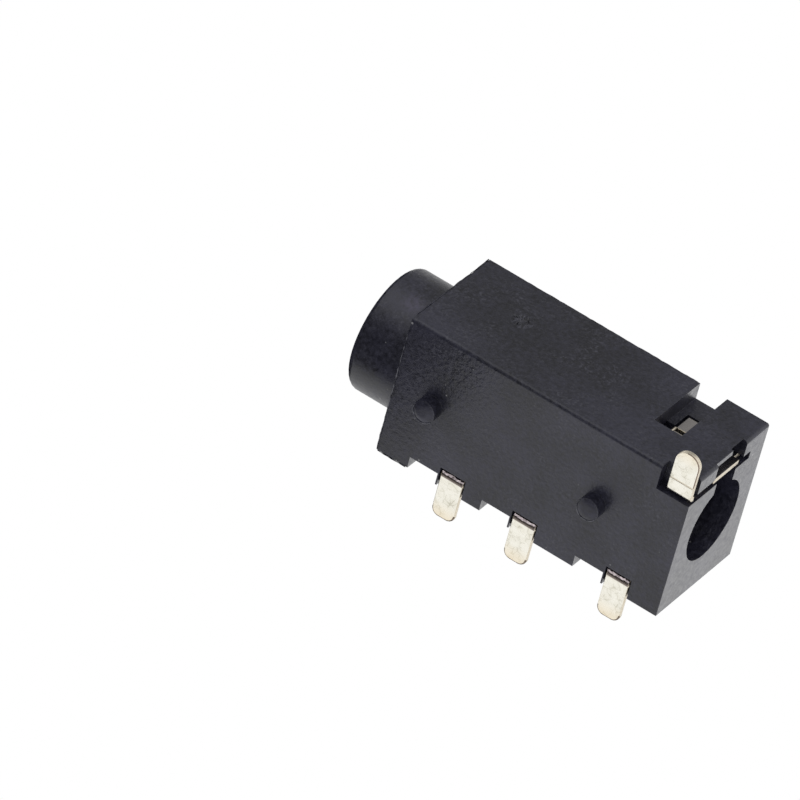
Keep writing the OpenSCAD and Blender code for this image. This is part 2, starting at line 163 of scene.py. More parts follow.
def mouldingSkin(tree, place, noise, turned, handled, reliefTimes):
    away = addNode(tree, "ShaderNodeVectorMath", {"operation": "DISTANCE",
                   1: Vector(plastic["coarseAtMm"]) * mm}, {0: place})
    coarse = addNode(tree, "ShaderNodeMapRange", {"interpolation_type": "SMOOTHSTEP", "From Min": 0.0,
                     "From Max": plastic["coarseMm"] * mm, "To Min": plastic["coarseTimes"] * reliefTimes,
                     "To Max": reliefTimes}, {"Value": away.outputs["Value"]})
    at = addNode(tree, "ShaderNodeSeparateXYZ", {}, {"Vector": place})
    barrel, body = plastic["barrelRangeMm"]
    behind = addNode(tree, "ShaderNodeMapRange", {"From Min": barrel * mm, "From Max": body * mm,
                     "To Min": plastic["barrelTimes"], "To Max": 1.0}, {"Value": at.outputs["Y"]})
    sided = addNode(tree, "ShaderNodeMath", {"operation": "MULTIPLY"},
                    {0: handled, 1: behind.outputs["Result"]})
    relief = addNode(tree, "ShaderNodeMath", {"operation": "MULTIPLY"},
                     {0: coarse.outputs["Result"], 1: sided.outputs["Value"]})
    across = addNode(tree, "ShaderNodeMath", {"operation": "ABSOLUTE"}, {0: turned.outputs["Y"]})
    edge = addNode(tree, "ShaderNodeBevel", {"samples": plastic["edgeSamples"],
                   "Radius": plastic["edgeMm"] * mm})
    skin = addNode(tree, "ShaderNodeBump", {"Distance": plastic["flowDepthMm"] * mm},
                   {"Height": noise["flow"], "Normal": edge.outputs["Normal"]})
    turnedAway, square = plastic["turnRange"]
    for pattern in ("pebble", "grain"):
        ends = addNode(tree, "ShaderNodeMapRange", {"From Min": turnedAway, "From Max": square,
                       "To Min": 1.0, "To Max": plastic[pattern + "EndTimes"]},
                       {"Value": across.outputs["Value"]})
        strength = addNode(tree, "ShaderNodeMath", {"operation": "MULTIPLY"},
                           {0: relief.outputs["Value"], 1: ends.outputs["Result"]})
        skin = addNode(tree, "ShaderNodeBump", {"Distance": plastic[pattern + "DepthMm"] * mm},
                       {"Height": noise[pattern], "Strength": strength.outputs["Value"],
                        "Normal": skin.outputs["Normal"]})
    return skin.outputs["Normal"]


def blackMoulding(name, specular, scuff, reliefTimes=1.0, whitened=None):
    material, tree = newMaterial(name)
    place = addNode(tree, "ShaderNodeTexCoord").outputs["Object"]
    noise = {}
    for pattern, (sizeMm, detail, roughness) in plastic["noises"].items():
        noise[pattern] = addNode(tree, "ShaderNodeTexNoise", {"Scale": perMm(sizeMm), "Detail": detail,
                                 "Roughness": roughness}, {"Vector": place}).outputs["Fac"]
    facing = addNode(tree, "ShaderNodeNewGeometry").outputs["True Normal"]
    turned = addNode(tree, "ShaderNodeSeparateXYZ", {}, {"Vector": facing})
    turnedAway, square = plastic["turnRange"]
    handled = addNode(tree, "ShaderNodeMapRange", {"From Min": turnedAway, "From Max": square,
                      "To Min": 1.0, "To Max": plastic["sideTimes"]},
                      {"Value": turned.outputs["X"]}).outputs["Result"]
    colour = dustOver(tree, place, mouldingColour(tree, place, noise, handled, scuff))
    if whitened:
        bent = addNode(tree, "ShaderNodeTexNoise", {"Scale": perMm(plastic["whiteMm"]),
                       "Detail": plastic["whiteDetail"]}, {"Vector": place})
        none, full = plastic["whiteRange"]
        white = addNode(tree, "ShaderNodeMapRange", {"From Min": none, "From Max": full},
                        {"Value": bent.outputs["Fac"]})
        colour = addNode(tree, "ShaderNodeMix", {"data_type": "RGBA", colourB: toLinear(whitened)},
                         {mixShare: white.outputs["Result"], colourA: colour}).outputs[mixedColour]
    low, high = plastic["roughFrom"]
    smooth, coarse = plastic["roughTo"]
    rough = addNode(tree, "ShaderNodeMapRange", {"From Min": low, "From Max": high, "To Min": smooth,
                    "To Max": coarse}, {"Value": noise["mottle"]})
    skin = mouldingSkin(tree, place, noise, turned, handled, reliefTimes)
    shader = addNode(tree, "ShaderNodeBsdfPrincipled", {"IOR": plastic["ior"],
                     "Specular IOR Level": specular},
                     {"Base Color": colour, "Roughness": rough.outputs["Result"], "Normal": skin})
    addNode(tree, "ShaderNodeOutputMaterial", {}, {"Surface": shader.outputs["BSDF"]})
    return material


# Matte electroplated tin on brass strip: creamy white with fine grey veins and flecks, warmer towards
# the leads' cut ends. The sleeve's strip is painted darker where the moulding covers it, as painted
# shade inside the housing, and the spring contacts are painted darker over the bend at the lead's root
tin = {
    "clean": "#f5f2e7", "clouded": "#ece8da", "vein": "#c4c0b0", "stain": "#b0a998", "warm": "#f0dcb8",
    # The last two: painted shade on the sleeve's strip inside the housing, and a darker band over the
    # spring leads' bends
    "coveredShade": "#b4afac", "bendDarker": "#857a74",
    "noises": {  # cell in mm, detail, roughness
        "cloud": (0.4, 5.0, 0.6), "fleck": (0.08, 3.0, 0.5), "grain": (0.035, 2.0, 0.5),
    },
    "cloudRange": (0.42, 0.66), "veinMm": 0.26, "veinWide": 0.09,
    "fleckRange": (0.64, 0.78), "fleckShare": 0.6, "warmRangeMm": (3.5, 4.2), "warmShare": 0.55,
    # Reach of the painted shade on the sleeve's strip inside the housing, and of the darker band over the
    # bends
    "coveredShadeMm": {"X": (1.4, 1.6), "Z": (0.35, 0.55)},  # from none to full along each axis
    "bendDarkerMm": {"X": (-2.52, -2.49), "Z": (0.42, 0.37)},
    "grainDepthMm": 0.002, "cloudDepthMm": 0.006, "roughTo": (0.2, 0.32),
}


def tinPlate(name, darkerTone, darkerToneMm):
    material, tree = newMaterial(name)
    place = addNode(tree, "ShaderNodeTexCoord").outputs["Object"]
    at = addNode(tree, "ShaderNodeSeparateXYZ", {}, {"Vector": place})
    noise = {}
    for pattern, (sizeMm, detail, roughness) in tin["noises"].items():
        noise[pattern] = addNode(tree, "ShaderNodeTexNoise", {"Scale": perMm(sizeMm), "Detail": detail,
                                 "Roughness": roughness}, {"Vector": place})
    cloud = noise["cloud"].outputs["Fac"]
    none, full = tin["cloudRange"]
    clouds = addNode(tree, "ShaderNodeMapRange", {"From Min": none, "From Max": full},
                     {"Value": cloud}).outputs["Result"]
    sway = addNode(tree, "ShaderNodeVectorMath", {"operation": "SCALE", "Scale": tin["veinMm"] * mm},
                   {0: noise["cloud"].outputs["Color"]})
    swayed = addNode(tree, "ShaderNodeVectorMath", {"operation": "ADD"},
                     {0: place, 1: sway.outputs["Vector"]})
    cells = addNode(tree, "ShaderNodeTexVoronoi", {"feature": "DISTANCE_TO_EDGE",
                    "Scale": perMm(tin["veinMm"])}, {"Vector": swayed.outputs["Vector"]})
    line = addNode(tree, "ShaderNodeMapRange", {"From Min": tin["veinWide"], "From Max": 0.0},
                   {"Value": cells.outputs["Distance"]})
    veins = addNode(tree, "ShaderNodeMath", {"operation": "MULTIPLY"},
                    {0: line.outputs["Result"], 1: clouds})
    none, full = tin["fleckRange"]
    flecks = addNode(tree, "ShaderNodeMapRange", {"From Min": none, "From Max": full,
                     "To Max": tin["fleckShare"]}, {"Value": noise["fleck"].outputs["Fac"]})
    aside = addNode(tree, "ShaderNodeMath", {"operation": "ABSOLUTE"}, {0: at.outputs["X"]})
    inner, outer = tin["warmRangeMm"]
    nearEnd = addNode(tree, "ShaderNodeMapRange", {"From Min": inner * mm, "From Max": outer * mm,
                      "To Max": tin["warmShare"]}, {"Value": aside.outputs["Value"]})
    # Darker layer: painted shade on the sleeve's strip inside the housing, a darker band over the spring
    # contacts' bends
    reached = [addNode(tree, "ShaderNodeMapRange", {"From Min": start * mm, "From Max": end * mm},
                       {"Value": at.outputs[axis]}) for axis, (start, end) in darkerToneMm.items()]
    zone = addNode(tree, "ShaderNodeMath", {"operation": "MULTIPLY"},
                   {0: reached[0].outputs["Result"], 1: reached[1].outputs["Result"]})
    colour = None
    for layer, share in (("clouded", clouds), ("vein", veins.outputs["Value"]),
                         ("stain", flecks.outputs["Result"]), ("warm", nearEnd.outputs["Result"]),
                         (darkerTone, zone.outputs["Value"])):
        under = {colourA: colour} if colour else {}
        colour = addNode(tree, "ShaderNodeMix", {"data_type": "RGBA", colourA: toLinear(tin["clean"]),
                         colourB: toLinear(tin[layer])}, {mixShare: share, **under}).outputs[mixedColour]
    smooth, coarse = tin["roughTo"]
    rough = addNode(tree, "ShaderNodeMapRange", {"To Min": smooth, "To Max": coarse}, {"Value": cloud})
    dents = addNode(tree, "ShaderNodeBump", {"Distance": tin["cloudDepthMm"] * mm}, {"Height": cloud})
    skin = addNode(tree, "ShaderNodeBump", {"Distance": tin["grainDepthMm"] * mm},
                   {"Height": noise["grain"].outputs["Fac"], "Normal": dents.outputs["Normal"]})
    shader = addNode(tree, "ShaderNodeBsdfPrincipled", {"Metallic": 1.0},
                     {"Base Color": colour, "Roughness": rough.outputs["Result"],
                      "Normal": skin.outputs["Normal"]})
    addNode(tree, "ShaderNodeOutputMaterial", {}, {"Surface": shader.outputs["BSDF"]})
    return material


# Brass that the stamping die left bare: pale gold with fine shear marks, and brown burrs along the
# leads' lower outline, drawn dark there as painted shade. The ridge that the die scraped up on the bend
# has a coarser pattern
brass = {
    # Brown burrs at the leads' ends, drawn dark as painted shade along the lower outline
    "gold": "#e9e2d2", "darkerTone": "#cfc3ad", "burrShade": "#54443a", "burrShadePale": "#7d6c5e",
    "sleeveBurrShade": "#77655a", "sleeveBurrShadePale": "#9c8a7c", "scraped": "#e2d6d8", "scrapedDark": "#6e6466",
    "markMm": 0.04, "scrapeMm": 0.1, "detail": 2.0, "toneRange": (0.3, 0.7),
    "markDepthMm": 0.003, "roughTo": (0.28, 0.45),
}


def shearedBrass(name, pale, dark, patternMm):
    material, tree = newMaterial(name)
    place = addNode(tree, "ShaderNodeTexCoord").outputs["Object"]
    marks = addNode(tree, "ShaderNodeTexNoise", {"Scale": perMm(patternMm), "Detail": brass["detail"]},
                    {"Vector": place}).outputs["Fac"]
    palest, darkest = brass["toneRange"]
    share = addNode(tree, "ShaderNodeMapRange", {"From Min": palest, "From Max": darkest},
                    {"Value": marks})
    shade = addNode(tree, "ShaderNodeMix", {"data_type": "RGBA", colourA: toLinear(pale),
                    colourB: toLinear(dark)}, {mixShare: share.outputs["Result"]})
    smooth, coarse = brass["roughTo"]
    rough = addNode(tree, "ShaderNodeMapRange", {"To Min": smooth, "To Max": coarse}, {"Value": marks})
    skin = addNode(tree, "ShaderNodeBump", {"Distance": brass["markDepthMm"] * mm}, {"Height": marks})
    shader = addNode(tree, "ShaderNodeBsdfPrincipled", {"Metallic": 1.0},
                     {"Base Color": shade.outputs[mixedColour], "Roughness": rough.outputs["Result"],
                      "Normal": skin.outputs["Normal"]})
    addNode(tree, "ShaderNodeOutputMaterial", {}, {"Surface": shader.outputs["BSDF"]})
    return material


moulding = blackMoulding("blackMoulding", plastic["sheen"], plastic["scuff"])
pegTipMoulding = blackMoulding("blackMouldingPegTip", plastic["tipSheen"], plastic["tipScuff"],
                               reliefTimes=plastic["tipTimes"])
# Whitened flash; on the peg rims the same whitening is a painted highlight
flashAndHighlightMoulding = blackMoulding("blackMouldingFlashAndHighlight", plastic["sheen"], plastic["scuff"],
                              whitened=plastic["flash"])
tornMoulding = blackMoulding("blackMouldingTorn", plastic["sheen"], plastic["scuff"],
                             whitened=plastic["torn"])
# Spring contacts painted darker over the bend; the sleeve's strip with painted shade inside the housing
plating = tinPlate("tinPlate", "bendDarker", tin["bendDarkerMm"])
sleevePlating = tinPlate("tinPlateSleeve", "coveredShade", tin["coveredShadeMm"])
cutBrass = shearedBrass("shearedBrass", brass["gold"], brass["darkerTone"], brass["markMm"])
# Brown burrs at the leads' ends, drawn dark as painted shade along their lower outline
burrShadeBrass = shearedBrass("burrShadeBrass", brass["burrShadePale"], brass["burrShade"], brass["markMm"])
sleeveBurrShade = shearedBrass("burrShadeBrassSleeve", brass["sleeveBurrShadePale"], brass["sleeveBurrShade"], brass["markMm"])
scrapedTin = shearedBrass("scrapedTin", brass["scraped"], brass["scrapedDark"], brass["scrapeMm"])
print("materials made")

# A CAD node's mesh is loose triangles, so its copy is merged and its flats are joined up
copied = {"mergeMm": 0.001, "flatDeg": 0.5}


def dressedCopy(node, name, material):
    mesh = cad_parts[node].data.copy()
    mesh.materials.clear()
    mesh.materials.append(material)
    piece = bpy.data.objects.new(name, mesh)
    scene.collection.objects.link(piece)
    bpy.ops.object.select_all(action="DESELECT")
    piece.select_set(True)
    bpy.context.view_layer.objects.active = piece
    bpy.ops.object.mode_set(mode="EDIT")
    bpy.ops.mesh.select_all(action="SELECT")
    bpy.ops.mesh.remove_doubles(threshold=copied["mergeMm"] * mm)
    bpy.ops.mesh.dissolve_limited(angle_limit=radians(copied["flatDeg"]))
    bpy.ops.object.mode_set(mode="OBJECT")
    bpy.ops.mesh.customdata_custom_splitnormals_clear()
    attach(piece, "root")
    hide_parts(node)
    return piece


# Round walls of the moulding: index of the axis, where the axis is, and the radius
roundWalls = [
    {"along": 1, "atMm": (0, 0, 2.5), "radiusMm": 2.45},
    {"along": 1, "atMm": (0, 0, 2.5), "radiusMm": 1.8},
    {"along": 1, "atMm": (0, 0, 2.5), "radiusMm": 1.625},
    {"along": 2, "atMm": (0, 0, 0), "radiusMm": 0.45},
    {"along": 2, "atMm": (0, 7, 0), "radiusMm": 0.45},
]
shading = {
    "offWallMm": 0.004,  # how far from a round wall's radius its corners may be
    "wallFrom": 0.8, "flatFrom": 0.9999,  # least share of the normal across the wall, or along an axis
    "reachDeg": 40,
}


def wallNormal(wall, point, faceNormal):
    out = point / mm - Vector(wall["atMm"])
    out[wall["along"]] = 0
    if abs(out.length - wall["radiusMm"]) > shading["offWallMm"]:
        return None
    out.normalize()
    return out if out.dot(faceNormal) > 0 else -out


# Flat faces keep their own normal, round walls get the normal of their cylinder, and the narrow
# faces of a rounded edge run from one flat's normal to the next
def trueNormals(piece):
    mesh = piece.data
    mesh.polygons.foreach_set("use_smooth", [True] * len(mesh.polygons))
    onWall, flat, around = {}, {}, {}
    for face in mesh.polygons:
        for corner in face.vertices:
            around.setdefault(corner, []).append(face)
        flat[face.index] = max(abs(c) for c in face.normal) > shading["flatFrom"]
        for wall in roundWalls:
            turned = [wallNormal(wall, mesh.vertices[v].co, face.normal) for v in face.vertices]
            if None not in turned and min(n.dot(face.normal) for n in turned) > shading["wallFrom"]:
                onWall[face.index] = turned
    normals = []
    for face in mesh.polygons:
        if face.index in onWall:
            normals += onWall[face.index]
            continue
        for corner in face.vertices:
            total = face.normal.copy()
            if not flat[face.index]:
                close = [f for f in around[corner] if f.index not in onWall
                         and f.normal.angle(face.normal) < radians(shading["reachDeg"])]
                flats = [f.normal for f in close if flat[f.index]]
                total = sum(flats or [f.normal for f in close], Vector())
            normals.append(total.normalized())
    mesh.normals_split_custom_set(normals)


# Peg tips are domed: the flat end is inset, and the rows of corners under the rim go onto a bowl
pegTip = {
    "belowMm": -0.51, "endMm": -0.6, "endReachMm": 0.01, "rowsMm": (0, 7), "insetMm": 0.22,
    "radiusMm": 0.45, "domeMm": 0.1,
}


def domeTips(piece):
    bpy.ops.object.mode_set(mode="EDIT")
    bpy.ops.mesh.select_all(action="DESELECT")
    bpy.ops.object.mode_set(mode="OBJECT")
    for face in piece.data.polygons:
        face.select = face.center.z / mm < pegTip["endMm"] + pegTip["endReachMm"]
    bpy.ops.object.mode_set(mode="EDIT")
    bpy.ops.mesh.select_mode(type="FACE")
    bpy.ops.mesh.inset(thickness=pegTip["insetMm"] * mm)
    bpy.ops.mesh.select_all(action="DESELECT")
    bpy.ops.object.mode_set(mode="OBJECT")
    for corner in piece.data.vertices:
        out = min(Vector((corner.co.x / mm, corner.co.y / mm - y)).length for y in pegTip["rowsMm"])
        if corner.co.z / mm < pegTip["belowMm"]:
            rise = pegTip["domeMm"] * (out / pegTip["radiusMm"]) ** 2
            corner.co.z = (pegTip["endMm"] + rise) * mm


housing = dressedCopy("housing", "mouldedHousing", moulding)
domeTips(housing)
trueNormals(housing)
housing.data.materials.append(pegTipMoulding)
for face in housing.data.polygons:
    if face.center.z / mm < pegTip["belowMm"]:
        face.material_index = 1
print("housing dressed:", len(housing.data.polygons), "faces")

contact = {
    "edgeMm": 0.03, "segments": 2, "sharpDeg": 40, "smoothDeg": 40, "leadBeyondMm": -3,
    "crease": {"atMm": 2.78, "halfMm": 0.035, "deepMm": 0.016, "cutReachMm": 0.0001, "underMm": 0.01,
               "lineReachMm": 0.002},
    "roll": {"beyondMm": -3.7, "wideMm": 0.06, "segments": 3, "underMm": 0.002},
}
plated, sheared, burredShaded = 0, 1, 2  # a contact's material slots
strip = {
    "footTopMm": 0.3, "footFromMm": 2.45, "footUpright": 0.9,  # the foot is the lead's flat
    "creaseTopMm": 0.03, "burrShadeTopMm": 0.05, "burrShadeSlope": (-0.97, -0.15),
    "springEndMm": -3.85, "sleeveEndMm": 3.0, "sleeveFromMm": 9.8,
    "cutSlope": 0.35, "endSlope": 0.5, "earTopMm": 4.87,
}


# Which finish a contact's face shows: plated, sheared by the die or creased, or brown with burrs on a lead
# end's lower edge, drawn dark as painted shade
def stripFinish(face, isSleeve):
    x, y, z = face.center / mm
    n = face.normal
    inFoot = z < strip["footTopMm"] and abs(x) > strip["footFromMm"]
    atEnd = x < strip["springEndMm"]
    if isSleeve:
        atEnd = x > strip["sleeveEndMm"] and y > strip["sleeveFromMm"]
        creased = abs(x - contact["crease"]["atMm"]) < contact["crease"]["halfMm"]
        if creased and z < strip["creaseTopMm"]:
            return sheared
    # Lower edge at a lead's end: brown burrs, drawn dark as painted shade
    flattest, steepest = strip["burrShadeSlope"]
    if inFoot and z < strip["burrShadeTopMm"] and flattest < n.z < steepest and atEnd:
        return burredShaded
    if inFoot:
        return sheared if abs(n.z) < strip["footUpright"] else plated
    if isSleeve and z >= strip["footTopMm"]:
        return sheared if abs(n.y) > strip["endSlope"] or abs(n.z) > strip["cutSlope"] else plated
    earTop = n.z > strip["endSlope"] and z > strip["earTopMm"]
    return sheared if abs(n.y) > strip["cutSlope"] or earTop else plated


# Line across the sleeve lead where the bending tool pressed it
def creaseLead(piece, crease):
    bpy.ops.object.mode_set(mode="EDIT")
    for step in (-1, 0, 1):
        bpy.ops.mesh.select_all(action="SELECT")
        at = crease["atMm"] + step * crease["halfMm"]
        bpy.ops.mesh.bisect(plane_co=(at * mm, 0, 0), plane_no=(1, 0, 0),
                            threshold=crease["cutReachMm"] * mm)
    bpy.ops.mesh.select_all(action="DESELECT")
    bpy.ops.object.mode_set(mode="OBJECT")
    for corner in piece.data.vertices:
        onLine = abs(corner.co.x / mm - crease["atMm"]) < crease["halfMm"] / 2
        corner.select = onLine and corner.co.z < crease["underMm"] * mm
    bpy.ops.object.mode_set(mode="EDIT")
    bpy.ops.mesh.select_mode(type="VERT")
    bpy.ops.transform.translate(value=(0, 0, crease["deepMm"] * mm))
    bpy.ops.mesh.select_all(action="DESELECT")
    bpy.ops.object.mode_set(mode="OBJECT")
    for edge in piece.data.edges:
        away = [abs(piece.data.vertices[v].co.x / mm - crease["atMm"]) for v in edge.vertices]
        edge.select = all(abs(a - crease["halfMm"]) < crease["lineReachMm"] for a in away)
    bpy.ops.object.mode_set(mode="EDIT")
    bpy.ops.mesh.select_mode(type="EDGE")
    bpy.ops.mesh.mark_sharp()
    bpy.ops.object.mode_set(mode="OBJECT")


# Rounded lower edge that the die leaves round a lead's end
def rollEnd(piece, roll):
    for edge in piece.data.edges:
        ends = [piece.data.vertices[v].co / mm for v in edge.vertices]
        edge.select = all(end.x < roll["beyondMm"] and abs(end.z) < roll["underMm"] for end in ends)
    bpy.ops.object.mode_set(mode="EDIT")
    bpy.ops.mesh.select_mode(type="EDGE")
    bpy.ops.mesh.bevel(offset=roll["wideMm"] * mm, segments=roll["segments"], affect="EDGES")
    bpy.ops.object.mode_set(mode="OBJECT")


def softenEdges(piece):
    bevel = piece.modifiers.new("edges", "BEVEL")
    bevel.width = contact["edgeMm"] * mm
    bevel.segments = contact["segments"]
    bevel.limit_method = "ANGLE"
    bevel.angle_limit = radians(contact["sharpDeg"])
    bevel.use_clamp_overlap = False
    bpy.ops.object.modifier_apply(modifier=bevel.name)
    bpy.ops.object.shade_smooth_by_angle(angle=radians(contact["smoothDeg"]))
    weigh = piece.modifiers.new("flats", "WEIGHTED_NORMAL")
    weigh.keep_sharp = True
    bpy.ops.object.modifier_apply(modifier=weigh.name)


leadRows = []  # where each spring lead starts and ends along the body
for node in ("ring_two_contact", "ring_one_contact", "tip_contact", "sleeve_contact"):
    isSleeve = node == "sleeve_contact"
    spring = dressedCopy(node, node + "_plated", sleevePlating if isSleeve else plating)
    if isSleeve:
        creaseLead(spring, contact["crease"])
    else:
        rollEnd(spring, contact["roll"])
        across = [corner.co.y / mm for corner in spring.data.vertices
                  if corner.co.x < contact["leadBeyondMm"] * mm]
        leadRows.append((min(across), max(across)))
    softenEdges(spring)
    spring.data.materials.append(cutBrass)
    spring.data.materials.append(sleeveBurrShade if isSleeve else burrShadeBrass)
    for face in spring.data.polygons:
        face.material_index = stripFinish(face, isSleeve)
    print(node, "dressed:", len(spring.data.polygons), "faces")

small = {"smoothDeg": 30, "endFrom": 0.9}  # shared by the small pieces below


def finishPiece(piece, material):
    piece.data.materials.append(material)
    bpy.ops.object.shade_smooth_by_angle(angle=radians(small["smoothDeg"]))
    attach(piece, "root")


# Scar where the mould's gate was broken off the sleeve side: a low disc with a torn middle
gate = {
    "atMm": (2.98, 1.16, 2.92), "radiusMm": 0.44, "proudMm": 0.024, "sides": 18, "insetMm": 0.1,
    "cuts": 3, "tornMm": 0.05, "seed": 4,
}
bpy.ops.object.select_all(action="DESELECT")
bpy.ops.mesh.primitive_cylinder_add(vertices=gate["sides"], radius=gate["radiusMm"] * mm,
                                    depth=2 * gate["proudMm"] * mm)
scar = bpy.context.object
scar.name = "gateScar"
bpy.ops.object.mode_set(mode="EDIT")
bpy.ops.mesh.select_all(action="DESELECT")
bpy.ops.object.mode_set(mode="OBJECT")
for face in scar.data.polygons:
    face.select = face.normal.z > small["endFrom"]
bpy.ops.object.mode_set(mode="EDIT")
bpy.ops.mesh.select_mode(type="FACE")
bpy.ops.mesh.inset(thickness=gate["insetMm"] * mm)
bpy.ops.mesh.poke()
bpy.ops.mesh.subdivide(number_cuts=gate["cuts"])
bpy.ops.transform.vertex_random(offset=gate["tornMm"] * mm, seed=gate["seed"])
bpy.ops.mesh.select_all(action="SELECT")
bpy.ops.transform.rotate(value=-radians(90), orient_axis="Y", center_override=(0, 0, 0))
bpy.ops.transform.translate(value=Vector(gate["atMm"]) * mm)
bpy.ops.object.mode_set(mode="OBJECT")
finishPiece(scar, tornMoulding)
mouldedPieces = [housing, scar]


# Thin ragged sliver along an edge, from one end to the other
def raggedSliver(name, low, high, settings, seed):
    low, high = Vector(low), Vector(high)
    length = (high - low).length
    along = max(range(3), key=lambda axis: abs(high[axis] - low[axis]))
    sides = list(settings["sizeMm"])
    sides[along] = length
    bpy.ops.object.select_all(action="DESELECT")
    bpy.ops.mesh.primitive_cube_add(size=1)
    sliver = bpy.context.object
    sliver.name = name
    bpy.ops.object.mode_set(mode="EDIT")
    bpy.ops.mesh.select_all(action="SELECT")
    bpy.ops.transform.resize(value=[side * mm for side in sides])
    bpy.ops.mesh.select_all(action="DESELECT")
    bpy.ops.object.mode_set(mode="OBJECT")
    for edge in sliver.data.edges:
        ends = [sliver.data.vertices[v].co for v in edge.vertices]
        edge.select = abs(ends[0][along] - ends[1][along]) > length / 2 * mm
    bpy.ops.object.mode_set(mode="EDIT")
    bpy.ops.mesh.select_mode(type="EDGE")
    bpy.ops.mesh.subdivide(number_cuts=int(length / settings["stepMm"]))
    bpy.ops.mesh.select_all(action="SELECT")
    bpy.ops.transform.vertex_random(offset=settings["ragMm"] * mm, seed=seed)
    bpy.ops.transform.translate(value=(low + high) / 2 * mm)
    bpy.ops.object.mode_set(mode="OBJECT")
    return sliver


# Flash along the edges where the mould closes
flash = {"sizeMm": (0.03, 0.03, 0.03), "ragMm": 0.02, "stepMm": 0.16, "firstSeed": 1}
flashEdges = {
    "flashTopEdge": ((2.98, -1.57, 4.98), (2.98, 7.35, 4.98), moulding),
    "flashFrontUpright": ((3, -1.6, 0.35), (3, -1.6, 4.97), moulding),
    "flashFrontLower": ((-2.95, -1.6, 0), (2.45, -1.6, 0), flashAndHighlightMoulding),
    "flashSideLower": ((-3, -1.55, 0), (-3, -0.35, 0), moulding),
}
for seed, (name, (low, high, skin)) in enumerate(flashEdges.items(), flash["firstSeed"]):
    sliver = raggedSliver(name, low, high, flash, seed)
    finishPiece(sliver, skin)
    mouldedPieces.append(sliver)

# Ridge that the bending die scraped up along each spring lead's root
ridge = {
    "atMm": (-2.318, 0.062), "sizeMm": (0.1, 0.1, 0.07), "ragMm": 0.035, "stepMm": 0.07,
    "shortMm": 0.03, "firstSeed": 11,
}
for row, (low, high) in enumerate(leadRows):
    x, z = ridge["atMm"]
    start, end = (x, low + ridge["shortMm"], z), (x, high - ridge["shortMm"], z)
    sliver = raggedSliver("scrapedRidge" + str(row + 1), start, end, ridge, row + ridge["firstSeed"])
    finishPiece(sliver, scrapedTin)

# Bright rounded ridge where the sleeve contact's arm steps inwards behind the side notch
armStep = {
    "atMm": (2.3, 7.85, 2.88), "radiusMm": 0.06, "longMm": 0.3, "sides": 20, "roundMm": 0.03,
    "segments": 3,
}
bpy.ops.object.select_all(action="DESELECT")
bpy.ops.mesh.primitive_cylinder_add(vertices=armStep["sides"], radius=armStep["radiusMm"] * mm,
                                    depth=armStep["longMm"] * mm)
stepRidge = bpy.context.object
stepRidge.name = "sleeveStepRidge"
bpy.ops.object.mode_set(mode="EDIT")
bpy.ops.mesh.select_all(action="DESELECT")
bpy.ops.object.mode_set(mode="OBJECT")
for face in stepRidge.data.polygons:
    face.select = abs(face.normal.z) > small["endFrom"]
bpy.ops.object.mode_set(mode="EDIT")
bpy.ops.mesh.select_mode(type="FACE")
bpy.ops.mesh.bevel(offset=armStep["roundMm"] * mm, segments=armStep["segments"], affect="EDGES")
bpy.ops.mesh.select_all(action="SELECT")
bpy.ops.transform.translate(value=Vector(armStep["atMm"]) * mm)
bpy.ops.object.mode_set(mode="OBJECT")
finishPiece(stepRidge, cutBrass)

# Half ring of whitened flash on each peg's rim, kept on the lower-left side only: a painted highlight along
# the rim
pegRimHighlight = {
    "radiusMm": 0.432, "tubeMm": 0.022, "ringParts": 48, "tubeParts": 6, "atMm": -0.516,
    "keepWay": (-0.85, -0.53, 0), "cutReachMm": 0.0001, "ragMm": 0.003, "seed": 3,
}
for name, atY in zip(("flashHighlightFrontPeg", "flashHighlightRearPeg"), pegTip["rowsMm"]):
    bpy.ops.object.select_all(action="DESELECT")
    bpy.ops.mesh.primitive_torus_add(major_segments=pegRimHighlight["ringParts"],
                                     minor_segments=pegRimHighlight["tubeParts"],
                                     major_radius=pegRimHighlight["radiusMm"] * mm,
                                     minor_radius=pegRimHighlight["tubeMm"] * mm)
    ring = bpy.context.object
    ring.name = name
    bpy.ops.object.mode_set(mode="EDIT")
    bpy.ops.mesh.select_all(action="SELECT")
    bpy.ops.mesh.bisect(plane_co=(0, 0, 0), plane_no=pegRimHighlight["keepWay"], use_fill=True,
                        clear_inner=True, threshold=pegRimHighlight["cutReachMm"] * mm)
    bpy.ops.mesh.select_all(action="SELECT")
    bpy.ops.transform.vertex_random(offset=pegRimHighlight["ragMm"] * mm, seed=pegRimHighlight["seed"])
    bpy.ops.transform.translate(value=(0, atY * mm, pegRimHighlight["atMm"] * mm))
    bpy.ops.object.mode_set(mode="OBJECT")
    finishPiece(ring, flashAndHighlightMoulding)
    mouldedPieces.append(ring)
print("gate scar, flash and ridges made")

# Camera at the photograph's angle, fitted to the body's corners
shot = {
    "eyeMm": (186.33, 101.08, -223.35), "lensMm": 396.0, "sensorMm": 36.0,
    "right": (0.2097, 0.8106, 0.5467), "down": (-0.7679, 0.4827, -0.4212),
    "forward": (-0.6053, -0.3315, 0.7237),
}
bpy.ops.object.camera_add()
camera = bpy.context.object
camera.data.lens = shot["lensMm"]
camera.data.sensor_width = shot["sensorMm"]
axes = [Vector(shot["right"]), -Vector(shot["down"]), -Vector(shot["forward"])]
camera.matrix_world = Matrix.Translation(Vector(shot["eyeMm"]) * mm) @ Matrix(axes).transposed().to_4x4()
scene.camera = camera
print("camera set")

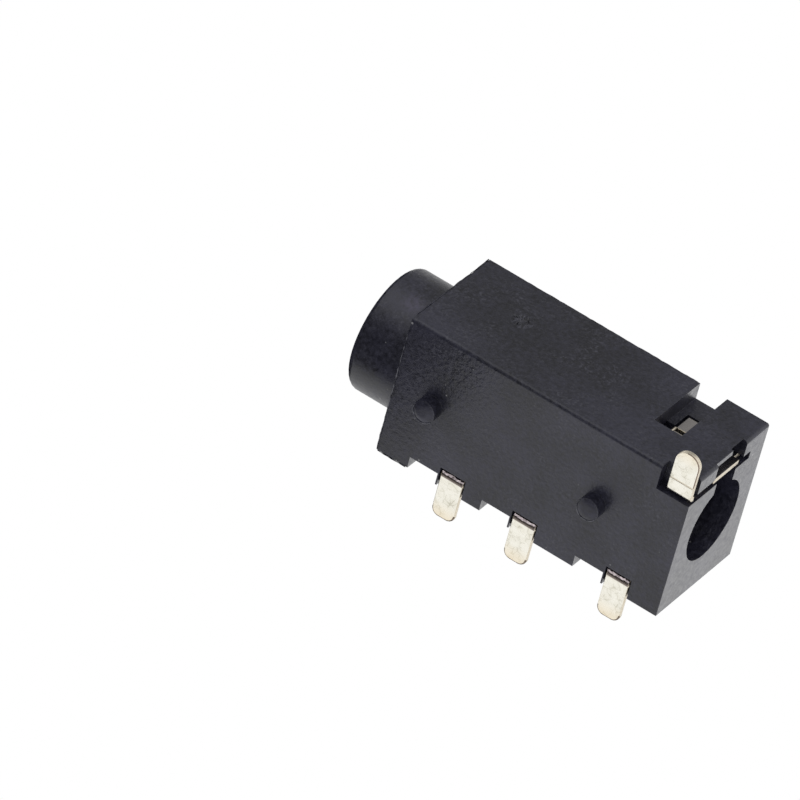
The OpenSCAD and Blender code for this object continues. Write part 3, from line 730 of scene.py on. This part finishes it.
# White studio: the camera sees plain white, and glossy surfaces see it too, apart from the
# dark room on the near side and the dimmer ceiling over the picture
studio = {
    "lightLevel": 0.8,
    "room": {"way": (0.31, -0.33, -0.892), "from": 0.7, "to": 0.92, "level": 0.08},
    "ceiling": {"way": (0.55, -0.33, 0.77), "from": 0.72, "to": 0.97, "level": 0.35},
}
world = bpy.data.worlds.new("whiteStudio")
world.use_nodes = True
scene.world = world
sky = world.node_tree
sky.nodes.clear()
toward = addNode(sky, "ShaderNodeTexCoord").outputs["Generated"]
dimming = []
for zone in (studio["room"], studio["ceiling"]):
    closeness = addNode(sky, "ShaderNodeVectorMath", {"operation": "DOT_PRODUCT", 1: zone["way"]},
                        {0: toward})
    dimming.append(addNode(sky, "ShaderNodeMapRange", {"interpolation_type": "SMOOTHSTEP",
                           "From Min": zone["from"], "From Max": zone["to"], "To Min": 1.0,
                           "To Max": zone["level"]}, {"Value": closeness.outputs["Value"]}))
mirrored = addNode(sky, "ShaderNodeMath", {"operation": "MULTIPLY"},
                   {0: dimming[0].outputs["Result"], 1: dimming[1].outputs["Result"]})
rays = addNode(sky, "ShaderNodeLightPath")
lit = addNode(sky, "ShaderNodeMix", {valueA: studio["lightLevel"]},
              {mixShare: rays.outputs["Is Glossy Ray"], valueB: mirrored.outputs["Value"]})
seen = addNode(sky, "ShaderNodeMath", {"operation": "ADD", "use_clamp": True},
               {0: rays.outputs["Is Camera Ray"], 1: rays.outputs["Is Transmission Ray"]})
level = addNode(sky, "ShaderNodeMix", {valueB: 1.0},
                {mixShare: seen.outputs["Value"], valueA: lit.outputs[mixedValue]})
paper = addNode(sky, "ShaderNodeBackground", {"Color": (1, 1, 1, 1)},
                {"Strength": level.outputs[mixedValue]})
addNode(sky, "ShaderNodeOutputWorld", {}, {"Surface": paper.outputs["Background"]})
print("studio lit")

# Softbox that the rear face mirrors
softbox = {"way": (-0.605, 0.33, 0.72), "awayMm": 150.0, "sizeMm": 90.0, "power": 0.0222}
bpy.ops.object.light_add(type="AREA")
lamp = bpy.context.object
lamp.name = "rearSoftbox"
lamp.data.size = softbox["sizeMm"] * mm
lamp.data.energy = softbox["power"]
lamp.visible_camera = False
middle = (Vector(cadBox[0]) + Vector(cadBox[1])) / 2
lamp.location = middle + Vector(softbox["way"]) * softbox["awayMm"] * mm
lamp.rotation_euler = Vector(softbox["way"]).to_track_quat("Z", "Y").to_euler()

# Dark flags in front of the mouth: they shade the sheen on the front of the underside, on the barrel
# and on its rim
feltColour = "#101012"
flags = {
    "darkFlagLow": {"centreMm": (-0.15, -4.3, -4.5), "sizeMm": (9.7, 6.8), "turnDeg": 25.0, "axis": "Z"},
    "darkFlagFront": {"centreMm": (-3.0, -10.0, 3.5), "sizeMm": (17.0, 19.0), "turnDeg": 90.0, "axis": "X"},
}
felt, feltTree = newMaterial("blackFelt")
matt = addNode(feltTree, "ShaderNodeBsdfDiffuse", {"Color": toLinear(feltColour)})
addNode(feltTree, "ShaderNodeOutputMaterial", {}, {"Surface": matt.outputs["BSDF"]})
for name, flag in flags.items():
    bpy.ops.object.select_all(action="DESELECT")
    bpy.ops.mesh.primitive_plane_add(size=1)
    shade = bpy.context.object
    shade.name = name
    bpy.ops.object.mode_set(mode="EDIT")
    bpy.ops.mesh.select_all(action="SELECT")
    bpy.ops.transform.resize(value=(flag["sizeMm"][0] * mm, flag["sizeMm"][1] * mm, 1))
    bpy.ops.transform.rotate(value=-radians(flag["turnDeg"]), orient_axis=flag["axis"],
                             center_override=(0, 0, 0))
    bpy.ops.transform.translate(value=Vector(flag["centreMm"]) * mm)
    bpy.ops.object.mode_set(mode="OBJECT")
    shade.data.materials.append(felt)
    for kind in ("camera", "diffuse", "transmission", "shadow"):
        setattr(shade, "visible_" + kind, False)

# Pale floor just under the pegs: it keeps the jack's soft shadow and fades into the white, and from
# below, where the photograph was taken, it is clear
floor = {
    "heightMm": -0.61, "middleMm": 3.5, "sizeMm": 120.0, "colour": "#f4f4f2", "solidMm": 12.0,
    "clearMm": 45.0,
}
bpy.ops.object.select_all(action="DESELECT")
bpy.ops.mesh.primitive_plane_add(size=1)
table = bpy.context.object
table.name = "paleFloor"
bpy.ops.object.mode_set(mode="EDIT")
bpy.ops.mesh.select_all(action="SELECT")
bpy.ops.transform.resize(value=(floor["sizeMm"] * mm, floor["sizeMm"] * mm, 1))
bpy.ops.transform.translate(value=(0, floor["middleMm"] * mm, floor["heightMm"] * mm))
bpy.ops.object.mode_set(mode="OBJECT")
paint, paintTree = newMaterial("paleFloorPaint")
spot = addNode(paintTree, "ShaderNodeTexCoord").outputs["Object"]
reach = addNode(paintTree, "ShaderNodeVectorMath", {"operation": "LENGTH"}, {0: spot})
faded = addNode(paintTree, "ShaderNodeMapRange", {"interpolation_type": "SMOOTHSTEP",
                "From Min": floor["solidMm"] * mm, "From Max": floor["clearMm"] * mm},
                {"Value": reach.outputs["Value"]})
below = addNode(paintTree, "ShaderNodeNewGeometry").outputs["Backfacing"]
clear = addNode(paintTree, "ShaderNodeMath", {"operation": "MAXIMUM"},
                {0: faded.outputs["Result"], 1: below})
coat = addNode(paintTree, "ShaderNodeBsdfDiffuse", {"Color": toLinear(floor["colour"])})
through = addNode(paintTree, "ShaderNodeBsdfTransparent", {"Color": (1, 1, 1, 1)})
surface = addNode(paintTree, "ShaderNodeMixShader", {}, {0: clear.outputs["Value"],
                  1: coat.outputs["BSDF"], 2: through.outputs["BSDF"]})
addNode(paintTree, "ShaderNodeOutputMaterial", {}, {"Surface": surface.outputs["Shader"]})
table.data.materials.append(paint)
for kind in ("diffuse", "glossy", "transmission", "shadow"):
    setattr(table, "visible_" + kind, False)

# The softbox lights the moulding and the floor alone, so that no plated face clips to white
softboxLights = bpy.data.collections.new("softboxLights")
for thing in mouldedPieces + [table]:
    softboxLights.objects.link(thing)
lamp.light_linking.receiver_collection = softboxLights
print("softbox, flags and floor placed")
